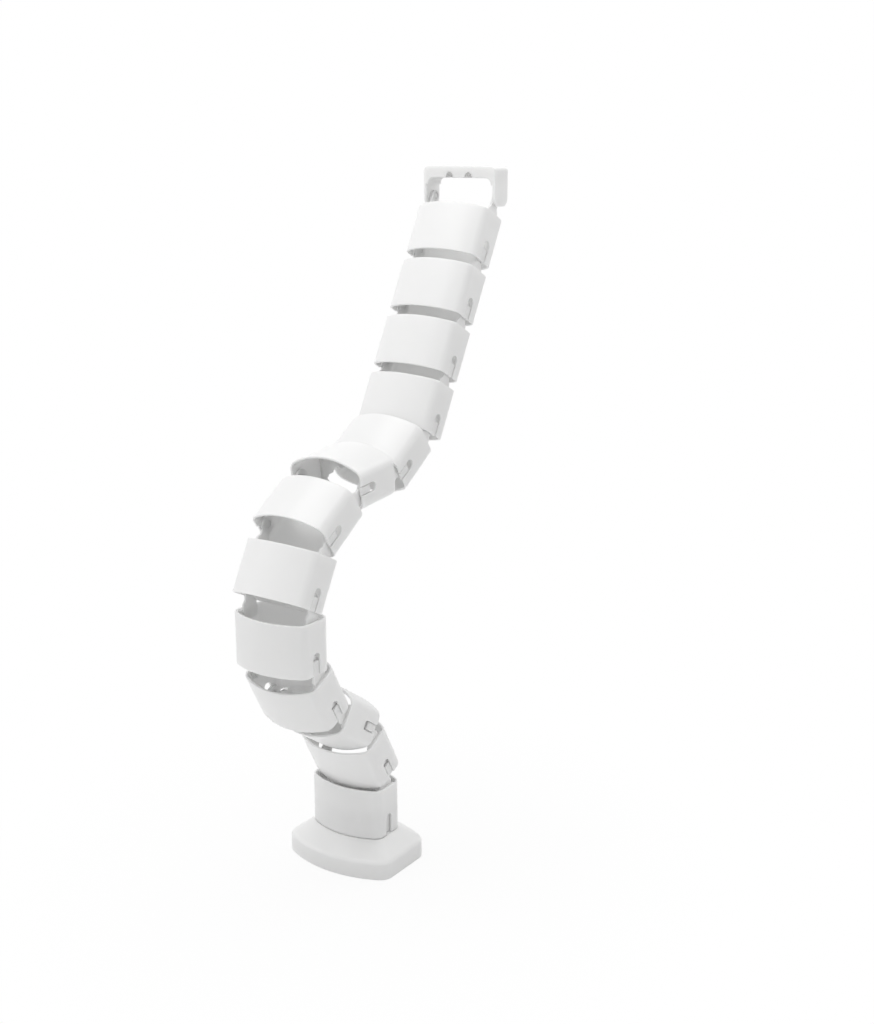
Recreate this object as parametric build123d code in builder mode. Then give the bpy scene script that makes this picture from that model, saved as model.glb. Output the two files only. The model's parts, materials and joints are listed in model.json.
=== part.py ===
"""Cable spine for a height-adjustable desk: thirteen hinged sleeves on a weighted foot, with a desk bracket.

The cables run inside the sleeves. Each sleeve turns on the two arms of the sleeve below it, by 28 degrees
either way, so the column folds into an S when the desk comes down. Everything is in millimetres.
Origin: centre of the foot's underside. +X runs along the hinge axes, -Y is the front, +Z is up.
"""
from build123d import *
import os
from math import cos, radians, sin

# Sleeve (one link of the column)
LINK_COUNT = 13
LINK_WIDTH = 78.0
LINK_DEPTH = 52.0
LINK_ARC_RADIUS = 74.0       # front and back walls
LINK_CORNER = 9.0
LINK_WALL = 2.2
SLEEVE_HEIGHT = 47.0
LINK_PITCH = 56.2            # from hinge axis to hinge axis
HINGE_RISE = 8.2             # hinge axis above the sleeve's lower rim

# Hinge: a recessed panel in each side wall's slot carries a stud, and the stud sits in the arm's bore
SLOT_WIDTH = 10.0
WINDOW_RISE = 8.3            # centre of the slot's round end above the hinge axis
PANEL_RISE = 3.6             # panel's top edge above the hinge axis, where the window starts
PANEL_RECESS = 1.2           # how far the panel stands back from the side wall
PANEL_THICKNESS = 2.2
STUD_DIAMETER = 6.0
HINGE_FIT = 0.06             # radial clearance of the stud in its bore
SIDE_CLEARANCE = 0.3         # between panel and arm
ARM_WIDTH = 10.0
ARM_THICKNESS = 2.4
ARM_ROOT = 10.0              # how far the arm reaches down inside its own sleeve
SHOULDER_WIDTH = 16.0        # the arm's wide lower end, which stops the upper sleeve
SHOULDER_RISE = 3.7          # its upright part, above the sleeve's top
SHOULDER_TAPER = 3.5         # above that it narrows to the arm's width
STUD_SETBACK = 0.2           # the stud ends this far short of the arm's inner face
ROOT_BITE = 0.5              # how far the arm's root runs into the wall

# Pose of the column: bend of each hinge from the foot upwards, in steps of one full bend
BEND = 28.0
BEND_STEPS = (-1, -1, 1, 1, 1, 1, 1, -1, -1, 0, 0, 0, -1)

# Foot
FOOT_WIDTH = 114.4
FOOT_DEPTH = 90.0
FOOT_ARC_RADIUS = 111.0
FOOT_CORNER = 13.0
FOOT_SIDE_HEIGHT = 17.5      # top of the upright side, above the floor
FOOT_HEIGHT = 30.5           # where the lowest sleeve sits
FOOT_WALL = 2.6
FOOT_LIFT = 0.8              # the shell's lower edge stands this far off the floor
CROWN_EDGE_RADIUS = 5.0      # rounds the crown's outer edge
SEAT_MARGIN = 0.8            # crown's upper edge outside the sleeve
SEAM_DEPTH = 0.6             # groove under the lowest sleeve's rim
SEAM_INSET = 0.7
SPIGOT_HEIGHT = 25.0         # upstand inside the lowest sleeve
SPIGOT_WALL = 2.0
SPIGOT_CLEARANCE = 0.15

# Inside the foot
PAD_THICKNESS = 1.5
BASE_THICKNESS = 2.0
BALLAST_THICKNESS = 9.0
INNER_CLEARANCE = 0.3
BALLAST_CLEARANCE = 1.0
BOSS_DIAMETER = 7.0
BOSS_SPACING_X = 76.0
BOSS_SPACING_Y = 46.0
SCREW_DIAMETER = 3.0
SCREW_LENGTH = 11.0
SCREW_HEAD_DIAMETER = 5.6
SCREW_HEAD_HEIGHT = 1.5
SCREW_CLEARANCE = 0.1
SCREW_SOCKET_DEPTH = 0.8
SCREW_SOCKET_WIDTH = 2.5
SCREW_TIP_ROOM = 1.0         # depth of the boss hole beyond the screw's tip

# Desk bracket
BRACKET_OVERHANG = 0.7       # each leg stands this far outside the sleeve's side
BRACKET_DEPTH = 23.0
BRACKET_TOP = 28.0           # above the hinge axis
BRACKET_DROP = 8.7           # legs below the hinge axis
BAR_HEIGHT = 11.0
LEG_THICKNESS = 2.8
GUSSET_THICKNESS = 4.5       # upper part of each leg
GUSSET_DROP = 6.4            # its lower edge below the bar
BRACKET_INNER_RADIUS = 6.0
BRACKET_OUTER_RADIUS = 5.0
LEG_END_RADIUS = 8.0
BRACKET_SCREW_SPACING = 21.0
BRACKET_SCREW_DIAMETER = 4.2
BRACKET_HEAD_DIAMETER = 9.0
BRACKET_SCREW_ANGLE = 45.0   # the screws lean back from the front lower edge
BRACKET_HEAD_SEAT = 7.0      # depth of the head's seat along the screw's axis
SCALLOP_HEIGHT = 5.0         # how far the head's recess shows up the front face

# Values that follow
PANEL_OUTER = LINK_WIDTH / 2 - PANEL_RECESS
PANEL_INNER = PANEL_OUTER - PANEL_THICKNESS
ARM_OUTER = PANEL_INNER - SIDE_CLEARANCE
ARM_INNER = ARM_OUTER - ARM_THICKNESS
STUD_END = ARM_INNER + STUD_SETBACK
BORE_RADIUS = STUD_DIAMETER / 2 + HINGE_FIT
WALL_INNER = LINK_WIDTH / 2 - LINK_WALL
SLEEVE_TOP = SLEEVE_HEIGHT - HINGE_RISE
BRACKET_WIDTH = LINK_WIDTH + 2 * BRACKET_OVERHANG
BASE_BOTTOM = PAD_THICKNESS
BASE_TOP = BASE_BOTTOM + BASE_THICKNESS
BALLAST_TOP = BASE_TOP + BALLAST_THICKNESS


def hinge_frame(y, z, tilt):
    """Plane on a hinge axis: its x runs along the axis and its normal up the link."""
    lean = radians(tilt)
    return Plane(origin=(0, y, z), x_dir=(1, 0, 0), z_dir=(0, sin(lean), cos(lean)))


def side_plane(frame, x):
    """Plane across the hinge axis at x, on which (u, v) are the depth and the height of the link."""
    return Plane(origin=frame.origin + frame.x_dir * x, x_dir=frame.y_dir, z_dir=frame.x_dir)


def barrel(width, depth, arc_radius, corner):
    """Plan of the sleeve and of the foot: flat sides, bowed front and back, rounded corners."""
    Rectangle(width, 2 * depth)
    with Locations((0, arc_radius - depth / 2)):
        Circle(arc_radius, mode=Mode.INTERSECT)
    with Locations((0, depth / 2 - arc_radius)):
        Circle(arc_radius, mode=Mode.INTERSECT)
    fillet(vertices(), corner)


def link_plan(inset):
    barrel(LINK_WIDTH - 2 * inset, LINK_DEPTH - 2 * inset, LINK_ARC_RADIUS - inset, LINK_CORNER - inset)


def foot_plan(inset):
    barrel(FOOT_WIDTH - 2 * inset, FOOT_DEPTH - 2 * inset, FOOT_ARC_RADIUS - inset, FOOT_CORNER - inset)


def tombstone(half_width, low, high):
    """Upright shape with a round top centred at the height given last."""
    with Locations((0, (low + high) / 2)):
        Rectangle(2 * half_width, high - low)
    with Locations((0, high)):
        Circle(half_width)


def sleeve(frame):
    """The sleeve's wall with an open slot in each side, inside a BuildPart."""
    rim = frame.offset(-HINGE_RISE)
    with BuildSketch(rim) as outside:
        link_plan(0)
    extrude(outside.sketch, amount=SLEEVE_HEIGHT)
    with BuildSketch(rim) as inside:
        link_plan(LINK_WALL)
    extrude(inside.sketch, amount=SLEEVE_HEIGHT, mode=Mode.SUBTRACT)
    with BuildSketch(side_plane(frame, 0)) as slot:
        tombstone(SLOT_WIDTH / 2, -HINGE_RISE, WINDOW_RISE)
    extrude(slot.sketch, amount=LINK_WIDTH, both=True, mode=Mode.SUBTRACT)


def hinge_panels(frame):
    """Recessed panels that carry the studs, one in each slot, inside a BuildPart."""
    for side in (-1, 1):
        with BuildSketch(side_plane(frame, side * PANEL_OUTER)) as panel:
            with Locations((0, (PANEL_RISE - HINGE_RISE) / 2)):
                Rectangle(SLOT_WIDTH, PANEL_RISE + HINGE_RISE)
        extrude(panel.sketch, amount=-side * PANEL_THICKNESS)
    studs(frame, PANEL_INNER)


def studs(frame, root):
    """Hinge studs that point inwards from x = root on both sides, inside a BuildPart."""
    for side in (-1, 1):
        with BuildSketch(side_plane(frame, side * (root + ROOT_BITE))) as stud:
            Circle(STUD_DIAMETER / 2)
        extrude(stud.sketch, amount=-side * (root + ROOT_BITE - STUD_END))


def arms(frame):
    """Two arms that reach up from the sleeve to the next hinge, inside a BuildPart."""
    foot = SLEEVE_TOP - ARM_ROOT
    shoulder = SLEEVE_TOP + SHOULDER_RISE
    neck = shoulder + SHOULDER_TAPER
    for side in (-1, 1):
        with BuildSketch(side_plane(frame, side * ARM_INNER)) as blade:
            tombstone(ARM_WIDTH / 2, foot, LINK_PITCH)
            with BuildLine():
                Polyline(
                    (-SHOULDER_WIDTH / 2, foot),
                    (SHOULDER_WIDTH / 2, foot),
                    (SHOULDER_WIDTH / 2, shoulder),
                    (ARM_WIDTH / 2, neck),
                    (-ARM_WIDTH / 2, neck),
                    (-SHOULDER_WIDTH / 2, shoulder),
                    close=True,
                )
            make_face()
        extrude(blade.sketch, amount=side * ARM_THICKNESS)
        with BuildSketch(side_plane(frame, side * ARM_INNER)) as root:
            with Locations((0, SLEEVE_TOP - ARM_ROOT / 2)):
                Rectangle(SHOULDER_WIDTH, ARM_ROOT)
        extrude(root.sketch, amount=side * (WALL_INNER + ROOT_BITE - ARM_INNER))
    with BuildSketch(side_plane(frame, 0)) as bore:
        with Locations((0, LINK_PITCH)):
            Circle(BORE_RADIUS)
    extrude(bore.sketch, amount=LINK_WIDTH / 2, both=True, mode=Mode.SUBTRACT)


os.makedirs("parts", exist_ok=True)
pieces = []

# Frames of the links, from the foot upwards
frames = []
hinge_y = 0.0
hinge_z = FOOT_HEIGHT + HINGE_RISE
lean = 0.0
for step in (0,) + BEND_STEPS:
    lean += step * BEND
    frames.append(hinge_frame(hinge_y, hinge_z, lean))
    hinge_y += LINK_PITCH * sin(radians(lean))
    hinge_z += LINK_PITCH * cos(radians(lean))

# Links: link_13 sits on the foot, and link_01 carries the bracket
for place, frame in enumerate(frames[:LINK_COUNT]):
    with BuildPart() as link:
        sleeve(frame)
        if place > 0:
            hinge_panels(frame)
        arms(frame)
    link.part.label = f"link_{LINK_COUNT - place:02d}"
    pieces.append(link.part)

# Desk bracket: an upside-down U whose legs stand outside the arms of the top link
top = frames[LINK_COUNT]
front = Plane(origin=top.origin, x_dir=(1, 0, 0), z_dir=(0, -1, 0))
half_depth = BRACKET_DEPTH / 2
bar_bottom = BRACKET_TOP - BAR_HEIGHT
leg_inner = BRACKET_WIDTH / 2 - LEG_THICKNESS
gusset_inner = BRACKET_WIDTH / 2 - GUSSET_THICKNESS
with BuildPart() as bracket:
    with BuildSketch(front):
        with Locations((0, (BRACKET_TOP - BRACKET_DROP) / 2)):
            Rectangle(BRACKET_WIDTH, BRACKET_TOP + BRACKET_DROP)
        fillet(vertices().group_by(Axis.Y)[-1], BRACKET_OUTER_RADIUS)
    extrude(amount=half_depth, both=True)
    with BuildSketch(front):
        with Locations((0, bar_bottom - LINK_PITCH / 2)):
            Rectangle(2 * gusset_inner, LINK_PITCH)
        fillet(vertices().group_by(Axis.Y)[-1], BRACKET_INNER_RADIUS)
        with Locations((0, bar_bottom - GUSSET_DROP - LINK_PITCH / 2)):
            Rectangle(2 * leg_inner, LINK_PITCH)
    extrude(amount=half_depth, both=True, mode=Mode.SUBTRACT)
    leg_ends = bracket.edges().filter_by(Axis.X).group_by(Axis.Z)[0]
    fillet(leg_ends, LEG_END_RADIUS)
    for side in (-1, 1):
        with BuildSketch(side_plane(top, side * PANEL_INNER)):
            Circle(SLOT_WIDTH / 2)
        extrude(amount=side * (leg_inner + ROOT_BITE - PANEL_INNER))
    studs(top, PANEL_INNER)
    # Screw holes: each axis leans back and up from the front lower edge of the bar
    tilt = radians(BRACKET_SCREW_ANGLE)
    entry = bar_bottom + SCALLOP_HEIGHT - BRACKET_HEAD_DIAMETER / 2 / sin(tilt)
    screw_plane = Plane(
        origin=top.origin + Vector(0, -half_depth, entry),
        x_dir=(1, 0, 0),
        z_dir=(0, cos(tilt), sin(tilt)),
    )
    with BuildSketch(screw_plane.offset(-BRACKET_HEAD_DIAMETER)):
        with GridLocations(BRACKET_SCREW_SPACING, 1, 2, 1):
            Circle(BRACKET_HEAD_DIAMETER / 2)
    extrude(amount=BRACKET_HEAD_DIAMETER + BRACKET_HEAD_SEAT, mode=Mode.SUBTRACT)
    with BuildSketch(screw_plane):
        with GridLocations(BRACKET_SCREW_SPACING, 1, 2, 1):
            Circle(BRACKET_SCREW_DIAMETER / 2)
    extrude(amount=2 * BRACKET_DEPTH, mode=Mode.SUBTRACT)
bracket.part.label = "desk_bracket"
pieces.append(bracket.part)


def crown_sections(inset):
    """The crown's two plans: at the top of the upright side, and at the lowest sleeve's seat."""
    with BuildSketch(Plane.XY.offset(FOOT_SIDE_HEIGHT - inset)) as lower:
        foot_plan(inset)
    with BuildSketch(Plane.XY.offset(FOOT_HEIGHT - SEAM_DEPTH - inset)) as upper:
        link_plan(inset - SEAT_MARGIN)
    return [lower.sketch, upper.sketch]


# Foot shell: upright side, bulging crown, seat and spigot for link_13, hollow from below
boss_places = GridLocations(BOSS_SPACING_X, BOSS_SPACING_Y, 2, 2)
with BuildPart() as foot_shell:
    with BuildSketch(Plane.XY.offset(FOOT_LIFT)):
        foot_plan(0)
    extrude(amount=FOOT_SIDE_HEIGHT - FOOT_LIFT)
    loft(crown_sections(0), ruled=True)
    crown_edge = foot_shell.edges().group_by(Axis.Z)
    crown_edge = [edge for group in crown_edge for edge in group if abs(edge.center().Z - FOOT_SIDE_HEIGHT) < 0.01]
    fillet(crown_edge, CROWN_EDGE_RADIUS)
    with BuildSketch(Plane.XY.offset(FOOT_HEIGHT - SEAM_DEPTH - FOOT_WALL)):
        link_plan(SEAM_INSET)
    extrude(amount=SEAM_DEPTH + FOOT_WALL)
    with BuildSketch(Plane.XY.offset(FOOT_LIFT)):
        foot_plan(FOOT_WALL)
    extrude(amount=FOOT_SIDE_HEIGHT - FOOT_WALL - FOOT_LIFT, mode=Mode.SUBTRACT)
    loft(crown_sections(FOOT_WALL), ruled=True, mode=Mode.SUBTRACT)
    with BuildSketch(Plane.XY.offset(FOOT_HEIGHT)):
        link_plan(LINK_WALL + SPIGOT_CLEARANCE)
    extrude(amount=SPIGOT_HEIGHT)
    with BuildSketch(Plane.XY.offset(FOOT_HEIGHT)):
        link_plan(LINK_WALL + SPIGOT_CLEARANCE + SPIGOT_WALL)
    extrude(amount=SPIGOT_HEIGHT, mode=Mode.SUBTRACT)
    # Screw bosses stand on the base plate and run up into the crown
    with BuildSketch(Plane.XY.offset(BASE_TOP)):
        with boss_places:
            Circle(BOSS_DIAMETER / 2)
    extrude(until=Until.NEXT)
    with BuildSketch(Plane.XY.offset(BASE_TOP)):
        with boss_places:
            Circle(SCREW_DIAMETER / 2 + SCREW_CLEARANCE)
    extrude(amount=SCREW_LENGTH - BASE_THICKNESS + SCREW_TIP_ROOM, mode=Mode.SUBTRACT)
foot_shell.part.label = "foot_shell"
pieces.append(foot_shell.part)

# Steel ballast with a hole round each boss, resting on the base plate
with BuildPart() as ballast:
    with BuildSketch(Plane.XY.offset(BASE_TOP)):
        foot_plan(FOOT_WALL + BALLAST_CLEARANCE)
        with boss_places:
            Circle(BOSS_DIAMETER / 2 + BALLAST_CLEARANCE / 2, mode=Mode.SUBTRACT)
    extrude(amount=BALLAST_THICKNESS)
ballast.part.label = "ballast_plate"
pieces.append(ballast.part)

# Base plate that closes the foot, with countersunk screw holes
with BuildPart() as base_plate:
    with BuildSketch(Plane.XY.offset(BASE_BOTTOM)):
        foot_plan(FOOT_WALL + INNER_CLEARANCE)
    extrude(amount=BASE_THICKNESS)
    with BuildSketch(Plane.XY.offset(BASE_BOTTOM)):
        with boss_places:
            Circle(SCREW_HEAD_DIAMETER / 2 + SCREW_CLEARANCE)
    extrude(amount=SCREW_HEAD_HEIGHT, mode=Mode.SUBTRACT)
    with BuildSketch(Plane.XY.offset(BASE_BOTTOM)):
        with boss_places:
            Circle(SCREW_DIAMETER / 2 + SCREW_CLEARANCE)
    extrude(amount=BASE_THICKNESS, mode=Mode.SUBTRACT)
base_plate.part.label = "base_plate"
pieces.append(base_plate.part)

# Four screws, driven from below
with BuildPart() as foot_screws:
    with BuildSketch(Plane.XY.offset(BASE_BOTTOM)):
        with boss_places:
            Circle(SCREW_HEAD_DIAMETER / 2)
    extrude(amount=SCREW_HEAD_HEIGHT)
    with BuildSketch(Plane.XY.offset(BASE_BOTTOM + SCREW_HEAD_HEIGHT)):
        with boss_places:
            Circle(SCREW_DIAMETER / 2)
    extrude(amount=SCREW_LENGTH - SCREW_HEAD_HEIGHT)
    with BuildSketch(Plane.XY.offset(BASE_BOTTOM)):
        with boss_places:
            RegularPolygon(SCREW_SOCKET_WIDTH / 2, 6)
    extrude(amount=SCREW_SOCKET_DEPTH, mode=Mode.SUBTRACT)
foot_screws.part.label = "foot_screws"
pieces.append(foot_screws.part)

# Non-slip floor pad under the base plate
with BuildPart() as floor_pad:
    with BuildSketch(Plane.XY):
        foot_plan(FOOT_WALL + INNER_CLEARANCE)
    extrude(amount=PAD_THICKNESS)
floor_pad.part.label = "floor_pad"
pieces.append(floor_pad.part)

for piece in pieces:
    export_step(piece, f"parts/{piece.label}.step")
    print(piece.label, len(piece.solids()), "solid(s),", round(piece.volume / 1000, 2), "cm3")
print("column height", round(frames[-1].origin.Z + BRACKET_TOP, 1), "mm")
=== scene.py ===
# %% [markdown]
# A cable spine is a chain of hollow sleeves that leads a desk's cables from the floor to the table top.
# The measured solids of one are already there, with every hinge in its place. This lesson gives them
# the soft edges, the finish and the light that make moulded white plastic look real. Lengths are in
# metres in Blender, so sizes that a drawing gives in millimetres are multiplied by MM.

# %% Load the frame
import json
from math import acos, atan2, cos, degrees, pi, radians, sin, sqrt, tan

import bmesh
import bpy
from mathutils import Matrix, Vector

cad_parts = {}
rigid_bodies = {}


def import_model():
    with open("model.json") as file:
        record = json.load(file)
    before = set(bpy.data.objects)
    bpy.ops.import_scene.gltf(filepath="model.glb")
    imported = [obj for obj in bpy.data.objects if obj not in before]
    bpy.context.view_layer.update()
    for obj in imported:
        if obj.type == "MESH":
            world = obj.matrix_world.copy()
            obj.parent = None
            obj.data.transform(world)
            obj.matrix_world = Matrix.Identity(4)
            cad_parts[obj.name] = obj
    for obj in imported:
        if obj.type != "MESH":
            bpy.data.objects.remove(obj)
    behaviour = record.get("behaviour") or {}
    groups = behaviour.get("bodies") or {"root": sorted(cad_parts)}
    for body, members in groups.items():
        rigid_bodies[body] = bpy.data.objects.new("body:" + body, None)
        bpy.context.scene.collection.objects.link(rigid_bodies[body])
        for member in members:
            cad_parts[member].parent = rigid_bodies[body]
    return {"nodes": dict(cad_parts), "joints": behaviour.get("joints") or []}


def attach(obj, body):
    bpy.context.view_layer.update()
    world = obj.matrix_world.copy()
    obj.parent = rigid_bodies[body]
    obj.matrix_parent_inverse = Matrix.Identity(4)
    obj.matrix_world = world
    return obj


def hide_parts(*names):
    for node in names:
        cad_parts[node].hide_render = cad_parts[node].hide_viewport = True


MM = 0.001
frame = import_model()
scene = bpy.context.scene
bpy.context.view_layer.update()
print("pieces in the frame:", len(frame["nodes"]))

# %% [markdown]
# The camera stands to the right of the column, above its middle, and looks down slightly. Its place and
# lens were worked out from the edges of the sleeves: all thirteen are alike, so together they act as a
# measuring stick that is seen from thirteen sides.

# %% Camera
CAMERA_TILT = 14.63
CAMERA_TURN = 34.35

camera_data = bpy.data.cameras.new("studio_camera")
camera = bpy.data.objects.new("studio_camera", camera_data)
scene.collection.objects.link(camera)
camera.location = (0.7452, -0.9559, 0.6469)
camera.rotation_euler = (radians(90 - CAMERA_TILT), 0, radians(CAMERA_TURN))
camera_data.sensor_fit = "HORIZONTAL"
camera_data.sensor_width = 36
camera_data.lens = 58.21
camera_data.clip_start = 0.01
camera_data.clip_end = 50
scene.camera = camera
print("camera lens", round(camera_data.lens, 2), "mm")

# %% [markdown]
# A white thing on a white ground needs light that is soft but has a direction, or it turns into one flat
# patch. Two wide lamps high up, one before and one behind the column, brighten what faces up. A weak one
# on the left lifts the fronts a little, and the room adds the rest from all sides. Their levels keep
# every white wall just short of pure white, so that its shape still shows.

# %% Lamps


def soft_lamp(name, place, aim, size, watts):
    """A rectangular lamp that faces the aim; its size is given as width and height."""
    data = bpy.data.lights.new(name, "AREA")
    data.shape = "RECTANGLE"
    data.size = size[0]
    data.size_y = size[1]
    data.energy = watts
    lamp = bpy.data.objects.new(name, data)
    lamp.location = place
    lamp.rotation_euler = (Vector(aim) - Vector(place)).to_track_quat("-Z", "Y").to_euler()
    scene.collection.objects.link(lamp)
    print(name, watts, "W at", place)


soft_lamp("overhead_lamp", (-0.3, -0.5, 2.2), (0, 0, 0.3), (1.6, 1.6), 17)
soft_lamp("back_lamp", (0.3, 1.4, 1.8), (0, 0, 0.3), (1.5, 1.5), 6)
soft_lamp("left_lamp", (-1.5, -1.2, 0.9), (0, 0, 0.3), (1.2, 1.6), 2)

# %% [markdown]
# The world is the light of a white room. A ray from the camera, a mirror or glass that meets nothing
# sees plain white, while the light that falls on the object stays at an ordinary level. Light Path tells
# these kinds of ray apart, and the same helper serves the floor. A second helper makes a Map Range node,
# which stretches one pair of numbers onto another.

# %% Helpers for nodes


def seen_directly(nodes, links):
    """A value that is 1 for camera, glossy and transmission rays, and 0 for those that only light."""
    rays = nodes.new("ShaderNodeLightPath")
    total = rays.outputs["Is Camera Ray"]
    for kind in ("Is Glossy Ray", "Is Transmission Ray"):
        either = nodes.new("ShaderNodeMath")
        either.operation = "MAXIMUM"
        links.new(total, either.inputs[0])
        links.new(rays.outputs[kind], either.inputs[1])
        total = either.outputs["Value"]
    return total


def map_range(nodes, source, target):
    """A node that stretches the source pair of numbers onto the target pair."""
    node = nodes.new("ShaderNodeMapRange")
    for socket, value in zip(("From Min", "From Max", "To Min", "To Max"), (*source, *target)):
        node.inputs[socket].default_value = value
    return node


# %% World
ROOM_LEVEL = 0.64

world = bpy.data.worlds.new("white_room")
scene.world = world
world.use_nodes = True
world_nodes = world.node_tree.nodes
world_links = world.node_tree.links
world_nodes.clear()
room_light = world_nodes.new("ShaderNodeBackground")
room_light.inputs["Color"].default_value = (1, 1, 1, 1)
room_light.inputs["Strength"].default_value = ROOM_LEVEL
plain_white = world_nodes.new("ShaderNodeBackground")
plain_white.inputs["Color"].default_value = (1, 1, 1, 1)
plain_white.inputs["Strength"].default_value = 1.0
choose = world_nodes.new("ShaderNodeMixShader")
world_output = world_nodes.new("ShaderNodeOutputWorld")
world_links.new(seen_directly(world_nodes, world_links), choose.inputs[0])
world_links.new(room_light.outputs["Background"], choose.inputs[1])
world_links.new(plain_white.outputs["Background"], choose.inputs[2])
world_links.new(choose.outputs["Shader"], world_output.inputs["Surface"])
print("room light", ROOM_LEVEL)

# %% [markdown]
# The floor is a pale disc. Near the foot it is a real surface that catches the soft shadow, and towards
# its rim it fades into the white of the room, so no horizon shows. The fade is a distance from the
# column in object coordinates, which stays put whatever the camera does.

# %% Floor
FLOOR_RADIUS = 2.2
FADE_DISTANCES = (0.05, 0.35)
FADE_SHARES = (0.9, 1.0)

floor_mesh = bpy.data.meshes.new("studio_floor")
floor_shape = bmesh.new()
bmesh.ops.create_circle(floor_shape, cap_ends=True, segments=96, radius=FLOOR_RADIUS)
floor_shape.to_mesh(floor_mesh)
floor_shape.free()
floor = bpy.data.objects.new("studio_floor", floor_mesh)
floor.location = (0, 0, -0.0002)
scene.collection.objects.link(floor)

floor_paint = bpy.data.materials.new("pale_floor")
floor_paint.use_nodes = True
floor_nodes = floor_paint.node_tree.nodes
floor_links = floor_paint.node_tree.links
floor_nodes.clear()
matt = floor_nodes.new("ShaderNodeBsdfDiffuse")
matt.inputs["Color"].default_value = (0.88, 0.88, 0.88, 1)
glow = floor_nodes.new("ShaderNodeEmission")
glow.inputs["Strength"].default_value = 1.0
place = floor_nodes.new("ShaderNodeTexCoord")
distance = floor_nodes.new("ShaderNodeVectorMath")
distance.operation = "LENGTH"
fade = map_range(floor_nodes, FADE_DISTANCES, FADE_SHARES)
only_seen = floor_nodes.new("ShaderNodeMath")
only_seen.operation = "MULTIPLY"
blend_floor = floor_nodes.new("ShaderNodeMixShader")
floor_output = floor_nodes.new("ShaderNodeOutputMaterial")
floor_links.new(place.outputs["Object"], distance.inputs[0])
floor_links.new(distance.outputs["Value"], fade.inputs["Value"])
floor_links.new(fade.outputs["Result"], only_seen.inputs[0])
floor_links.new(seen_directly(floor_nodes, floor_links), only_seen.inputs[1])
floor_links.new(only_seen.outputs["Value"], blend_floor.inputs[0])
floor_links.new(matt.outputs["BSDF"], blend_floor.inputs[1])
floor_links.new(glow.outputs["Emission"], blend_floor.inputs[2])
floor_links.new(blend_floor.outputs["Shader"], floor_output.inputs["Surface"])
floor_mesh.materials.append(floor_paint)
print("floor radius", FLOOR_RADIUS, "m")

# %% [markdown]
# Every sleeve has the same plan: flat sides, a bowed front and back, and rounded corners. The loop is
# drawn from its arcs, so the same function gives the outside, the inside and every step of a rounded
# rim, and all loops have the same number of points and can be joined with four-sided faces.

# %% Barrel plan
SLEEVE_WIDTH = 78.0
SLEEVE_DEPTH = 52.0
SLEEVE_ARC = 74.0
SLEEVE_CORNER = 9.0


def barrel_loop(width, depth, arc, corner, corner_steps=8, arc_steps=30):
    """Points of the plan, anticlockwise from the right-hand side's front end, in millimetres."""
    reach = arc - corner
    corner_x = width / 2 - corner
    arc_y = depth / 2 - arc
    corner_y = arc_y + sqrt(reach * reach - corner_x * corner_x)
    turn = atan2(corner_x, corner_y - arc_y)
    half = []
    for i in range(corner_steps + 1):
        a = pi / 2 + (turn - pi / 2) * i / corner_steps
        half.append((corner_x + corner * sin(a), corner_y + corner * cos(a)))
    for i in range(1, arc_steps):
        a = turn - 2 * turn * i / arc_steps
        half.append((arc * sin(a), arc_y + arc * cos(a)))
    for i in range(corner_steps + 1):
        a = -turn + (turn - pi / 2) * i / corner_steps
        half.append((-corner_x + corner * sin(a), corner_y + corner * cos(a)))
    return half + [(-x, -y) for x, y in half]


def sleeve_loop(inset):
    """The sleeve's plan, drawn in by the inset on all sides."""
    return barrel_loop(
        SLEEVE_WIDTH - 2 * inset, SLEEVE_DEPTH - 2 * inset, SLEEVE_ARC - inset, SLEEVE_CORNER - inset
    )


print("points in the sleeve's plan:", len(sleeve_loop(0)))

# %% [markdown]
# A ring of loops joined to each other is a closed tube wall. The profile says how far in and how high
# each loop is. Two quarter circles at each rim give the small rounding that catches the light.

# %% Tube wall from loops


def rounded_profile(wall, low, high, radius, steps=3):
    """Cross-section of a wall with rounded rims: pairs of inset and height, in millimetres."""
    corners = [
        (radius, low + radius, pi, 1.5 * pi),
        (wall - radius, low + radius, 1.5 * pi, 2 * pi),
        (wall - radius, high - radius, 0, 0.5 * pi),
        (radius, high - radius, 0.5 * pi, pi),
    ]
    points = []
    for inset, height, start, end in corners:
        for i in range(steps + 1):
            a = start + (end - start) * i / steps
            points.append((inset + radius * cos(a), height + radius * sin(a)))
    return points


def level(loop, height):
    """A flat loop as 3-D points at one height."""
    return [(x, y, height) for x, y in loop]


def shell_from_loops(name, loops, closed=True):
    """Joins loops of 3-D points (millimetres) with quads. The ends are joined or capped."""
    shape = bmesh.new()
    rings = [[shape.verts.new(Vector(p) * MM) for p in loop] for loop in loops]
    pairs = list(zip(rings, rings[1:]))
    if closed:
        pairs.append((rings[-1], rings[0]))
    count = len(rings[0])
    for lower, upper in pairs:
        for i in range(count):
            j = (i + 1) % count
            shape.faces.new((lower[i], lower[j], upper[j], upper[i]))
    if not closed:
        shape.faces.new(rings[0])
        shape.faces.new(rings[-1])
    bmesh.ops.recalc_face_normals(shape, faces=shape.faces)
    mesh = bpy.data.meshes.new(name)
    shape.to_mesh(mesh)
    shape.free()
    piece = bpy.data.objects.new(name, mesh)
    scene.collection.objects.link(piece)
    return piece


# %% [markdown]
# Slots, panels, arms and studs are flat shapes with thickness along the hinge axis. A slab takes an
# outline in depth and height and a list of layers: where along the axis, and how far the outline is
# drawn in there. A smaller outline at the ends makes rounded edges, a larger one makes a flared cutter.
# The object has the same shapes on its left and on its right, so slabs mostly come in pairs.

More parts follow.
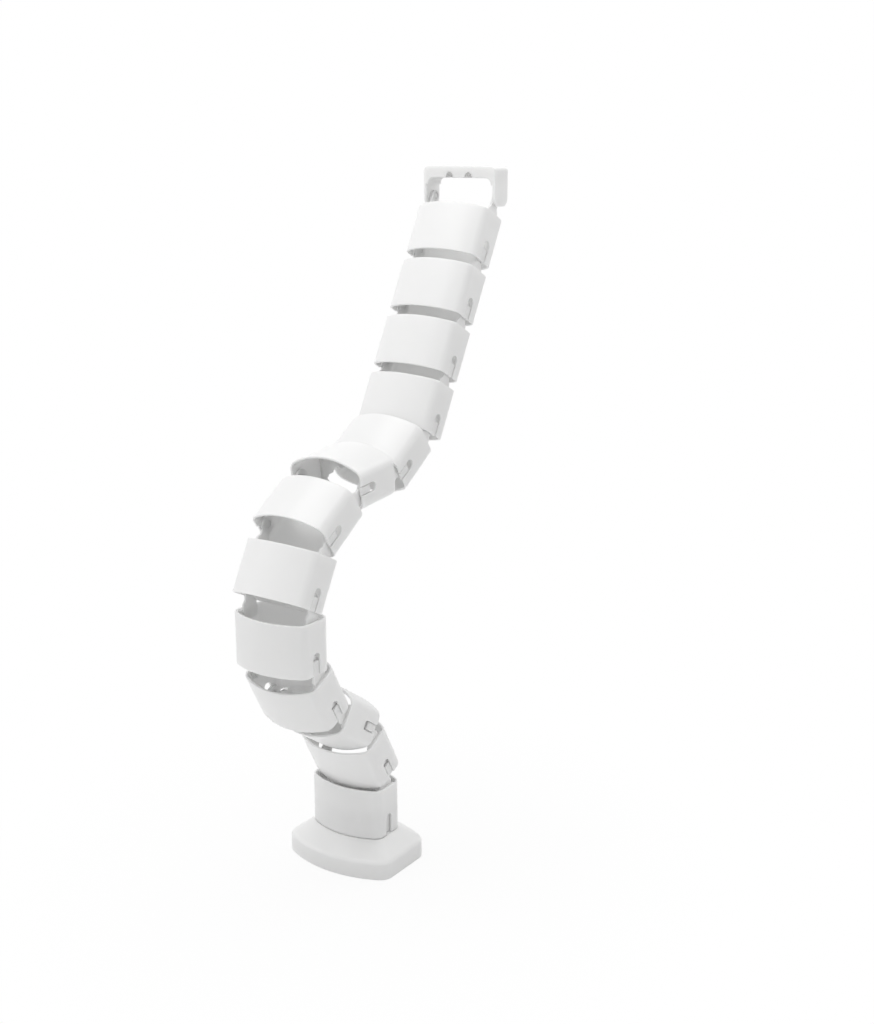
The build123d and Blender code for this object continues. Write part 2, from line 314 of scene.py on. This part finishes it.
# %% Sizes of a sleeve, in millimetres, with heights counted from its lower hinge
WALL = 2.2
RIM_RADIUS = 0.6
HINGE_RISE = 8.2
SLEEVE_HEIGHT = 47.0
SLEEVE_TOP = SLEEVE_HEIGHT - HINGE_RISE
PITCH = 56.2
SLOT_HALF = 4.3
WINDOW_CENTRE = 7.2
PANEL_TOP = 4.0
TAB_FRONT = -2.8
TAB_BACK = 3.8
TAB_OUTER = 38.0
PANEL_OUTER = 36.3
PANEL_INNER = 35.6
ARM_OUTER = 35.3
ARM_INNER = 32.9
ARM_HALF = 5.0
EYE_RADIUS = 7.8
SHOULDER_HALF = 8.0
SHOULDER_RISE = 3.7
SHOULDER_TAPER = 3.5
ARM_ROOT = 10.0
ROOT_HALF = 10.5
FOOT_SLOT_SHIFT = -0.7
STUD_RADIUS = 3.0
STUD_INNER = ARM_INNER + 0.2
BORE_RADIUS = 3.06
PANEL_LOW = -HINGE_RISE + 0.1
PANEL_OVERLAP = 0.4
TAB_LOW = -HINGE_RISE + 0.2
TAB_TOP = PANEL_TOP + 0.1
TAB_EDGE = 0.3
ARM_EDGE = 0.5
SLOT_BEVEL = 0.35
JOIN = 0.5  # how far a stud reaches into what carries it
SPARE = 3.0  # how far a cutter runs on past the part that it cuts
SEAT = 30.5  # height of the lowest sleeve's seat above the floor
print("hinge to hinge", PITCH, "mm, arm", round(ARM_OUTER - ARM_INNER, 1), "mm thick")

# %% Slabs


def tombstone(half_width, low, centre, shift=0.0, steps=20):
    """Outline with a round top about the given height; returns a function of the inset."""

    def outline(inset):
        half = half_width - inset
        points = [(shift - half, low + inset), (shift + half, low + inset)]
        for i in range(steps + 1):
            a = pi * i / steps
            points.append((shift + half * cos(a), centre + half * sin(a)))
        return points

    return outline


def disc(radius, centre, steps=40):
    """Round outline about the given height."""

    def outline(inset):
        turns = [2 * pi * i / steps for i in range(steps)]
        return [((radius - inset) * cos(a), centre + (radius - inset) * sin(a)) for a in turns]

    return outline


def arm_shape(inset, eye_radius):
    """The arm: wide shoulders that stop the next sleeve, a narrower neck and a round eye."""
    wide = SHOULDER_HALF - inset
    narrow = ARM_HALF - inset
    low = SLEEVE_TOP - ARM_ROOT + inset
    slope = atan2(SHOULDER_HALF - ARM_HALF, SHOULDER_TAPER)
    shoulder = SLEEVE_TOP + SHOULDER_RISE - inset * tan(slope / 2)
    neck = shoulder + SHOULDER_TAPER
    eye = eye_radius - inset
    start = -acos(narrow / eye)
    points = [(-wide, low), (wide, low), (wide, shoulder), (narrow, neck)]
    for i in range(33):
        a = start + (pi - 2 * start) * i / 32
        points.append((eye * cos(a), PITCH + eye * sin(a)))
    return points + [(-narrow, neck), (-wide, shoulder)]


def block(half_width, low, high):
    """Rectangular outline between two heights."""

    def outline(inset):
        w = half_width - inset
        return [(-w, low + inset), (w, low + inset), (w, high - inset), (-w, high - inset)]

    return outline


def tab_shape(inset):
    """The raised tab in a slot, with a wide groove before it and a narrow one behind."""
    low, high = TAB_LOW + inset, TAB_TOP - inset
    front, back = TAB_FRONT + inset, TAB_BACK - inset
    return [(front, low), (back, low), (back, high), (front, high)]


def slab(name, outline, layers):
    """A solid between the layers, each (place along x, inset), in millimetres."""
    loops = [[(x, u, v) for u, v in outline(inset)] for x, inset in layers]
    return shell_from_loops(name, loops, closed=False)


def both_sides(name, outline, layers):
    """Two slabs, the left one a mirror image of the right one."""
    return [slab(name, outline, [(side * x, inset) for x, inset in layers]) for side in (-1, 1)]


def rounded_layers(start, end, radius, steps=3):
    """Layers from start to end whose outlines round off at both ends."""
    turns = [pi / 2 * i / steps for i in range(steps + 1)]
    first = [(start + radius * (1 - cos(a)), radius * (1 - sin(a))) for a in turns]
    last = [(start + end - x, inset) for x, inset in reversed(first)]
    return first + last


# %% [markdown]
# The booleans below join and cut closed solids, as a toolmaker adds and removes steel. Each one is a
# modifier that is applied at once, and its helper object is thrown away.

# %% Join and cut


def apply_modifiers(piece):
    """Turns what the modifiers show into the piece's own mesh."""
    graph = bpy.context.evaluated_depsgraph_get()
    result = bpy.data.meshes.new_from_object(piece.evaluated_get(graph))
    old = piece.data
    piece.modifiers.clear()
    piece.data = result
    bpy.data.meshes.remove(old)


def combine(piece, operation, helpers):
    """Joins, cuts or trims the piece with the helpers, one after the other."""
    for helper in helpers:
        step = piece.modifiers.new("step", "BOOLEAN")
        step.operation = operation
        step.solver = "EXACT"
        step.object = helper
    apply_modifiers(piece)
    for helper in helpers:
        bpy.data.objects.remove(helper)


def finish_surface(piece, angle=32):
    """Smooth shading that keeps the corners, with normals that follow the large faces."""
    piece.data.shade_smooth()
    piece.data.set_sharp_from_angle(angle=radians(angle))
    even = piece.modifiers.new("even_normals", "WEIGHTED_NORMAL")
    even.keep_sharp = True
    apply_modifiers(piece)


# %% [markdown]
# One sleeve is a moulding of its own: the barrel wall, a slot in each side with a thin panel at its
# back, a raised tab on the panel with a groove on each side, a stud behind it, and the two arms that
# reach up into the next sleeve. It is built upright about its lower hinge and placed afterwards. Two
# sleeves differ: the lowest has open slots, a little further forward, and the top one has narrow arms.

# %% Sleeve


def build_sleeve(name, hinged=True, eye_radius=EYE_RADIUS):
    """A sleeve about its lower hinge. One without a hinge has plain open slots."""
    profile = rounded_profile(WALL, -HINGE_RISE, SLEEVE_TOP, RIM_RADIUS)
    piece = shell_from_loops(name, [level(sleeve_loop(inset), height) for inset, height in profile])
    half = SLEEVE_WIDTH / 2
    shift = 0 if hinged else FOOT_SLOT_SHIFT
    slot = tombstone(SLOT_HALF, -HINGE_RISE - SPARE, WINDOW_CENTRE, shift)
    layers = [(half - WALL - 2, 0), (half - SLOT_BEVEL, 0), (half + 1, -SLOT_BEVEL - 1)]
    combine(piece, "DIFFERENCE", both_sides("slot_cutter", slot, layers))
    added = []
    if hinged:
        panel = block(SLOT_HALF + PANEL_OVERLAP, PANEL_LOW, PANEL_TOP)
        added += both_sides("panel", panel, [(PANEL_INNER, 0), (PANEL_OUTER, 0)])
        layers = [(PANEL_INNER + 0.2, 0), (TAB_OUTER - TAB_EDGE, 0), (TAB_OUTER, TAB_EDGE)]
        added += both_sides("tab", tab_shape, layers)
        layers = [(STUD_INNER, 0), (PANEL_INNER + JOIN, 0)]
        added += both_sides("stud", disc(STUD_RADIUS, 0), layers)
    layers = rounded_layers(ARM_INNER, ARM_OUTER, ARM_EDGE)
    added += both_sides("arm", lambda inset: arm_shape(inset, eye_radius), layers)
    root = block(ROOT_HALF, SLEEVE_TOP - ARM_ROOT + 0.6, SLEEVE_TOP - 0.7)
    added += both_sides("root", root, [(ARM_OUTER - 0.8, 0), (half - WALL + 0.6, 0)])
    combine(piece, "UNION", added)
    layers = [(ARM_INNER - 2, 0), (ARM_OUTER + 1, 0)]
    combine(piece, "DIFFERENCE", both_sides("bore", disc(BORE_RADIUS, PITCH), layers))
    finish_surface(piece)
    return piece


pattern_sleeve = build_sleeve("sleeve_pattern")
foot_sleeve = build_sleeve("link_13_shell", hinged=False)
top_sleeve = build_sleeve("link_01_shell", eye_radius=ARM_HALF)
print("faces in a sleeve:", len(pattern_sleeve.data.polygons))

# %% [markdown]
# Each joint of the frame says where its hinge is. A sleeve leans along the line from its own hinge to
# the next one, so the poses of all thirteen follow from the joints alone.

# %% Place the sleeves
hinges = [Vector((0, 0, SEAT * MM + HINGE_RISE * MM))]
hinges += [Vector(joint["pos_m"]) for joint in frame["joints"]]
bodies = ["foot"] + [joint["child"] for joint in frame["joints"]]
sleeves = []
for number, (low, high) in enumerate(zip(hinges, hinges[1:])):
    name = f"link_{13 - number:02d}"
    lean = atan2(high.y - low.y, high.z - low.z)
    piece = {"link_13": foot_sleeve, "link_01": top_sleeve}.get(name)
    if piece is None:
        piece = bpy.data.objects.new(name + "_shell", pattern_sleeve.data.copy())
        scene.collection.objects.link(piece)
    piece.data.transform(Matrix.Translation(low) @ Matrix.Rotation(-lean, 4, "X"))
    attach(piece, bodies[number])
    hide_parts(name)
    sleeves.append(piece)
    print(name, "leans", round(degrees(lean)), "degrees")
bpy.data.objects.remove(pattern_sleeve)

# %% [markdown]
# The foot is one hollow moulding: an upright side, a crown that slopes up to the lowest sleeve, a narrow
# shadow groove under that sleeve and an upstand inside it. Its plan changes from the large barrel to the
# small one, and as both loops have the same points, the crown is drawn from steps between them. The skin
# is followed from the hollow's ceiling down, round the lower edge and up the outside.

# %% Foot sizes
FOOT_WIDTH = 114.4
FOOT_DEPTH = 90.0
FOOT_ARC = 111.0
FOOT_CORNER = 13.0
FOOT_LIFT = 0.8
FOOT_EDGE = 0.35
FOOT_WALL = 2.6
FOOT_SIDE_TOP = 17.5
CROWN_EDGE = 5.0
CROWN_TURN = radians(55)
SEAT_MARGIN = 0.8
SEAM_INSET = 0.7
SEAM_LOW = 29.9
UPSTAND_TOP = 55.5
UPSTAND_OUTER = 2.35
UPSTAND_INNER = 4.35
UPSTAND_EDGE = 0.4
UPSTAND_BEVEL = 0.12
RECESS_FLOOR = 35.9


def foot_loop(inset):
    """The foot's plan, drawn in by the inset on all sides."""
    return barrel_loop(
        FOOT_WIDTH - 2 * inset, FOOT_DEPTH - 2 * inset, FOOT_ARC - inset, FOOT_CORNER - inset
    )


def between(lower, upper, share):
    """A loop part of the way from one loop to another."""
    return [tuple(a + (b - a) * share for a, b in zip(p, q)) for p, q in zip(lower, upper)]


print("points in the foot's plan:", len(foot_loop(0)))

# %% Foot skin
crown_low = FOOT_SIDE_TOP - CROWN_EDGE * tan(CROWN_TURN / 2)
skin = [level(sleeve_loop(FOOT_WALL - SEAT_MARGIN), SEAM_LOW - FOOT_WALL)]
skin.append(level(foot_loop(FOOT_WALL), FOOT_SIDE_TOP - FOOT_WALL))
for inset, rise in ((FOOT_WALL, 0), (FOOT_EDGE, 0), (0.1, 0.1), (0, FOOT_EDGE)):
    skin.append(level(foot_loop(inset), FOOT_LIFT + rise))
for step in range(9):
    turn = CROWN_TURN * step / 8
    skin.append(level(foot_loop(CROWN_EDGE * (1 - cos(turn))), crown_low + CROWN_EDGE * sin(turn)))
crown_start = skin[-1]
crown_end = level(sleeve_loop(-SEAT_MARGIN), SEAM_LOW)
for step in range(1, 8):
    skin.append(between(crown_start, crown_end, 0.97 * step / 7))
seat_profile = (
    (-SEAT_MARGIN + 0.12, SEAM_LOW - 0.05),
    (-SEAT_MARGIN + 0.45, SEAM_LOW),
    (SEAM_INSET, SEAM_LOW),
    (SEAM_INSET, SEAT),
    (UPSTAND_OUTER, SEAT),
    (UPSTAND_OUTER, UPSTAND_TOP - UPSTAND_EDGE),
    (UPSTAND_OUTER + UPSTAND_BEVEL, UPSTAND_TOP - UPSTAND_BEVEL),
    (UPSTAND_OUTER + UPSTAND_EDGE, UPSTAND_TOP),
    (UPSTAND_INNER - UPSTAND_EDGE, UPSTAND_TOP),
    (UPSTAND_INNER - UPSTAND_BEVEL, UPSTAND_TOP - UPSTAND_BEVEL),
    (UPSTAND_INNER, UPSTAND_TOP - UPSTAND_EDGE),
    (UPSTAND_INNER, SEAT),
)
for inset, height in seat_profile:
    skin.append(level(sleeve_loop(inset), height))
foot = shell_from_loops("foot_moulding", skin, closed=False)
print("rings in the foot's skin:", len(skin))

# %% [markdown]
# Four bosses hang from the crown's underside and take the screws from below. They are short tubes: a
# post whose top follows the crown's slope, with a hole that stays open at the bottom. The upstand is
# recessed where the lowest sleeve has its slots, so that the slots look deep.

# %% Foot bosses
BOSS_PLACES = [(x, y) for x in (-38, 38) for y in (-23, 23)]
BOSS_RADIUS = 3.5
BOSS_LOW = 3.5
BOSS_HOLE = 1.6
BOSS_HOLE_TOP = 13.5
BOSS_TOP = 24.8
CROWN_SLOPE = 0.71


def post(name, centre, radius, low, high, slope=0.0, steps=24):
    """An upright round post, its top higher towards the middle of the foot by the slope."""
    reach = sqrt(centre[0] ** 2 + centre[1] ** 2)
    ends = [[], []]
    for i in range(steps):
        a = 2 * pi * i / steps
        dx, dy = radius * cos(a), radius * sin(a)
        rise = -slope * (dx * centre[0] + dy * centre[1]) / reach
        ends[0].append((centre[0] + dx, centre[1] + dy, low))
        ends[1].append((centre[0] + dx, centre[1] + dy, high + rise))
    return shell_from_loops(name, ends, closed=False)


posts = [post("boss", place, BOSS_RADIUS, BOSS_LOW, BOSS_TOP, CROWN_SLOPE) for place in BOSS_PLACES]
combine(foot, "UNION", posts)
cuts = [post("boss_hole", place, BOSS_HOLE, BOSS_LOW - SPARE, BOSS_HOLE_TOP) for place in BOSS_PLACES]
recess = tombstone(SLOT_HALF, SEAT + 0.3, SEAT + HINGE_RISE + WINDOW_CENTRE, FOOT_SLOT_SHIFT)
cuts += both_sides("upstand_recess", recess, [(RECESS_FLOOR, 0), (RECESS_FLOOR + SPARE, 0)])
combine(foot, "DIFFERENCE", cuts)
finish_surface(foot, angle=28)
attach(foot, "foot")
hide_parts("foot_shell")
print("faces in the foot:", len(foot.data.polygons))

# %% [markdown]
# The bracket is a thick bar with two thin legs. Its front view is one arch, drawn in layers through its
# depth, and the first and last layers are drawn in a little so that the edges come out round. A second
# prism, the side view, runs across and leaves only what lies inside its round lower corners. Its rings
# start just off the bracket's faces, because booleans are surest where no two faces share a plane.

# %% Bracket body
BRACKET_HALF = 39.7
BRACKET_TOP = 28.0
BRACKET_DROP = 8.7
BRACKET_HALF_DEPTH = 11.5
BAR_BOTTOM = 17.0
GUSSET_LOW = 10.6
GUSSET_INNER = 35.2
LEG_INNER = 36.9
INNER_RADIUS = 6.0
OUTER_RADIUS = 5.0
LEG_END_RADIUS = 8.0
EDGE_SOFTNESS = 0.6
FACE_GAP = 0.02


def arc_points(centre, radius, start, end, steps=14):
    """Points on an arc between two angles in degrees."""
    turns = [radians(start + (end - start) * i / steps) for i in range(steps + 1)]
    return [(centre[0] + radius * cos(a), centre[1] + radius * sin(a)) for a in turns]


def arch_outline(inset):
    """Front view of the bracket, with legs that run on below their ends."""
    low = -BRACKET_DROP - SPARE
    outer, leg = BRACKET_HALF - inset, LEG_INNER + inset
    gusset, step = GUSSET_INNER + inset, GUSSET_LOW + inset
    outer_x, outer_z = BRACKET_HALF - OUTER_RADIUS, BRACKET_TOP - OUTER_RADIUS
    inner_x, inner_z = GUSSET_INNER - INNER_RADIUS, BAR_BOTTOM - INNER_RADIUS
    points = [(outer, low)]
    points += arc_points((outer_x, outer_z), OUTER_RADIUS - inset, 0, 90)
    points += arc_points((-outer_x, outer_z), OUTER_RADIUS - inset, 90, 180)
    points += [(-outer, low), (-leg, low), (-leg, step), (-gusset, step)]
    points += arc_points((-inner_x, inner_z), INNER_RADIUS + inset, 180, 90)[1:]
    points += arc_points((inner_x, inner_z), INNER_RADIUS + inset, 90, 0)[:-1]
    return points + [(gusset, step), (leg, step), (leg, low)]


def leg_ends(inset):
    """Side view below the round leg ends; above them it is wider than the bracket."""
    y = BRACKET_HALF_DEPTH - LEG_END_RADIUS
    z = -BRACKET_DROP + LEG_END_RADIUS
    wide = BRACKET_HALF_DEPTH + SPARE
    points = arc_points((-y, z), LEG_END_RADIUS - inset, 180, 270)
    points += arc_points((y, z), LEG_END_RADIUS - inset, 270, 360)
    return points + [(wide, z), (wide, BRACKET_TOP + SPARE), (-wide, BRACKET_TOP + SPARE), (-wide, z)]


arch = []
for y, inset in rounded_layers(-BRACKET_HALF_DEPTH, BRACKET_HALF_DEPTH, EDGE_SOFTNESS):
    arch.append([(x, y, z) for x, z in arch_outline(inset)])
bracket = shell_from_loops("bracket_moulding", arch, closed=False)
layers = rounded_layers(-BRACKET_HALF - FACE_GAP, BRACKET_HALF + FACE_GAP, EDGE_SOFTNESS)
layers = [(-BRACKET_HALF - SPARE, EDGE_SOFTNESS)] + layers + [(BRACKET_HALF + SPARE, EDGE_SOFTNESS)]
combine(bracket, "INTERSECT", [slab("leg_ends", leg_ends, layers)])
print("faces in the bracket's body:", len(bracket.data.polygons))

# %% Bracket studs and screw recesses
HINGE_BOSS_RADIUS = 5.0
STUD_EDGE = 0.3
SCREW_LEAN = radians(45)
SCREW_OFFSET = 10.5
HEAD_RADIUS = 4.5
HOLE_RADIUS = 2.1
HEAD_SPAN = (-9, 7)
HOLE_SPAN = (6, 46)
SCREW_ENTRY = BAR_BOTTOM + 5.0 - HEAD_RADIUS / sin(SCREW_LEAN)


def leaning_rod(name, across, radius, span, steps=48):
    """A round rod along the screw's axis, which leans back and up from the bar's front face."""
    ends = []
    for along in span:
        ring = []
        for i in range(steps):
            a = 2 * pi * i / steps
            y = -BRACKET_HALF_DEPTH + along * cos(SCREW_LEAN) + radius * sin(a) * sin(SCREW_LEAN)
            z = SCREW_ENTRY + along * sin(SCREW_LEAN) - radius * sin(a) * cos(SCREW_LEAN)
            ring.append((across + radius * cos(a), y, z))
        ends.append(ring)
    return shell_from_loops(name, ends, closed=False)


layers = [(PANEL_INNER, 0), (LEG_INNER + JOIN, 0)]
added = both_sides("hinge_boss", disc(HINGE_BOSS_RADIUS, 0), layers)
layers = [(STUD_INNER, STUD_EDGE), (STUD_INNER + STUD_EDGE, 0), (PANEL_INNER + JOIN, 0)]
added += both_sides("hinge_stud", disc(STUD_RADIUS, 0), layers)
combine(bracket, "UNION", added)
rods = []
for name, radius, span in (
    ("head_recess", HEAD_RADIUS, HEAD_SPAN),
    ("screw_hole", HOLE_RADIUS, HOLE_SPAN),
):
    rods += [leaning_rod(name, side * SCREW_OFFSET, radius, span) for side in (-1, 1)]
combine(bracket, "DIFFERENCE", rods)
finish_surface(bracket)
bracket.data.transform(Matrix.Translation(hinges[-1]))
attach(bracket, bodies[-1])
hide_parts("desk_bracket")
print("faces in the bracket:", len(bracket.data.polygons))

# %% [markdown]
# Moulded plastic and machined metal are not quite uniform: they have a faint grain, and their gloss
# varies a little. A node group makes both from object coordinates, so that every material can use it
# with its own roughness and its own size of grain.

# %% Mould grain, a node group
NOISE_SPAN = (0.3, 0.7)
GLOSS_CHANGE = 0.002
BROAD_SCALE = 60

grain_group = bpy.data.node_groups.new("mould_grain", "ShaderNodeTree")
for direction, names in (("INPUT", ("Roughness", "Grain Scale")), ("OUTPUT", ("Roughness", "Height"))):
    for name in names:
        grain_group.interface.new_socket(name, in_out=direction, socket_type="NodeSocketFloat")
group_nodes = grain_group.nodes
group_links = grain_group.links
group_in = group_nodes.new("NodeGroupInput")
group_out = group_nodes.new("NodeGroupOutput")
where = group_nodes.new("ShaderNodeTexCoord")
fine = group_nodes.new("ShaderNodeTexNoise")
fine.inputs["Detail"].default_value = 3
broad = group_nodes.new("ShaderNodeTexNoise")
broad.inputs["Scale"].default_value = BROAD_SCALE
broad.inputs["Detail"].default_value = 2
gloss = map_range(group_nodes, NOISE_SPAN, (-GLOSS_CHANGE, GLOSS_CHANGE))
rough_sum = group_nodes.new("ShaderNodeMath")
rough_sum.operation = "ADD"
group_links.new(where.outputs["Object"], fine.inputs["Vector"])
group_links.new(where.outputs["Object"], broad.inputs["Vector"])
group_links.new(group_in.outputs["Grain Scale"], fine.inputs["Scale"])
group_links.new(broad.outputs["Fac"], gloss.inputs["Value"])
group_links.new(group_in.outputs["Roughness"], rough_sum.inputs[0])
group_links.new(gloss.outputs["Result"], rough_sum.inputs[1])
group_links.new(rough_sum.outputs["Value"], group_out.inputs["Roughness"])
group_links.new(fine.outputs["Fac"], group_out.inputs["Height"])
print("group sockets:", [s.name for s in grain_group.interface.items_tree])

# %% [markdown]
# The finishes: white plastic for all mouldings, steel for what is hidden in the foot, and black rubber
# for the pad. Each keeps its own Principled shader, with the grain group in front of it. Light goes a
# few millimetres deep into the plastic, which keeps the inside of the sleeves from looking too dark.

# %% Finishes
GRAIN_STRENGTH = 0.04


def finish(name, colour, roughness, grain_scale, grain_height, metallic=0.0, depth=0.0):
    """A material; the depth is how far light spreads inside it, in metres."""
    paint = bpy.data.materials.new(name)
    paint.use_nodes = True
    nodes = paint.node_tree.nodes
    links = paint.node_tree.links
    shader = nodes["Principled BSDF"]
    shader.inputs["Base Color"].default_value = (*colour, 1)
    shader.inputs["Metallic"].default_value = metallic
    if depth:
        shader.inputs["Subsurface Weight"].default_value = 1.0
        shader.inputs["Subsurface Radius"].default_value = (1.0, 1.0, 1.0)
        shader.inputs["Subsurface Scale"].default_value = depth
    grain = nodes.new("ShaderNodeGroup")
    grain.node_tree = grain_group
    grain.inputs["Roughness"].default_value = roughness
    grain.inputs["Grain Scale"].default_value = grain_scale
    bump = nodes.new("ShaderNodeBump")
    bump.inputs["Strength"].default_value = GRAIN_STRENGTH
    bump.inputs["Distance"].default_value = grain_height
    links.new(grain.outputs["Roughness"], shader.inputs["Roughness"])
    links.new(grain.outputs["Height"], bump.inputs["Height"])
    links.new(bump.outputs["Normal"], shader.inputs["Normal"])
    return paint


white_plastic = finish("white_plastic_finish", (0.88, 0.88, 0.875), 0.28, 900, 0.00003, depth=0.004)
plain_steel = finish("plain_steel_finish", (0.45, 0.46, 0.47), 0.38, 400, 0.00003, metallic=1.0)
screw_steel = finish("screw_steel_finish", (0.6, 0.6, 0.6), 0.3, 700, 0.00002, metallic=1.0)
black_rubber = finish("black_rubber_finish", (0.03, 0.03, 0.03), 0.8, 300, 0.0002)

finish_of = {"ballast_plate": plain_steel, "foot_screws": screw_steel, "floor_pad": black_rubber}
for name, node in frame["nodes"].items():
    node.data.materials.clear()
    node.data.materials.append(finish_of.get(name, white_plastic))
for piece in sleeves + [foot, bracket]:
    piece.data.materials.clear()
    piece.data.materials.append(white_plastic)
print("finishes:", white_plastic.name, plain_steel.name, screw_steel.name, black_rubber.name)

# %% Finish
scene.view_settings.view_transform = "Standard"
